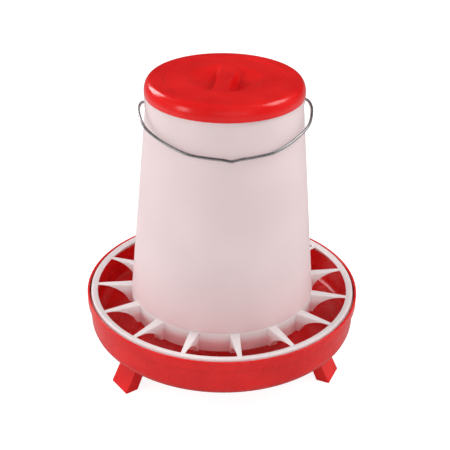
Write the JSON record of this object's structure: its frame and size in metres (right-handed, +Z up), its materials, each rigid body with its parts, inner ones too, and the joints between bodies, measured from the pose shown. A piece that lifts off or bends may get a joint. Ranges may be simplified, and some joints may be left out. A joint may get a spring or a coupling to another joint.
{
  "type": "poultry feeder",
  "caption": "Gravity feeder for poultry: a round pan on splayed feet, a grid of radial fins that keeps feed in the pan, a tapered translucent hopper, a lid with finger scoops and a wire bail.",
  "frame": {"origin": "on the feeder's upright axis at floor level, at the centre of the bounding box's bottom face", "axes": "+Z up the hopper, -Y towards the side where the bail rests, +X along the bail's pivot line, to the right seen from the front"},
  "size_m": [0.32, 0.32, 0.351],
  "materials": {
    "pan_plastic": "glossy injection-moulded red polypropylene",
    "leg_plastic": "glossy injection-moulded red polypropylene",
    "grid_plastic": "satin white polypropylene",
    "hopper_plastic": "satin translucent natural polyethylene",
    "lid_plastic": "glossy injection-moulded red polypropylene",
    "galvanised_wire": "galvanised drawn wire, dull"
  },
  "bodies": {
    "pan": {"pan": "pan_plastic", "leg_left": "leg_plastic", "leg_right": "leg_plastic", "leg_rear": "leg_plastic"},
    "grid": {"feed_grid": "grid_plastic"},
    "hopper": {"hopper": "hopper_plastic"},
    "lid": {"lid": "lid_plastic"},
    "bail": {"bail_handle": "galvanised_wire"}
  },
  "joints": [
    {"name": "grid_lift", "type": "slide", "parent": "pan", "child": "grid", "axis": [0, 0, 1], "range_m": [0, 0.05]},
    {"name": "hopper_lift", "type": "slide", "parent": "grid", "child": "hopper", "axis": [0, 0, 1], "range_m": [0, 0.06]},
    {"name": "lid_lift", "type": "slide", "parent": "hopper", "child": "lid", "axis": [0, 0, 1], "range_m": [0, 0.05]},
    {"name": "bail_swing", "type": "hinge", "parent": "hopper", "child": "bail", "pos_m": [0, 0, 0.3245], "axis": [-1, 0, 0], "range_deg": [0, 214.6]}
  ]
}
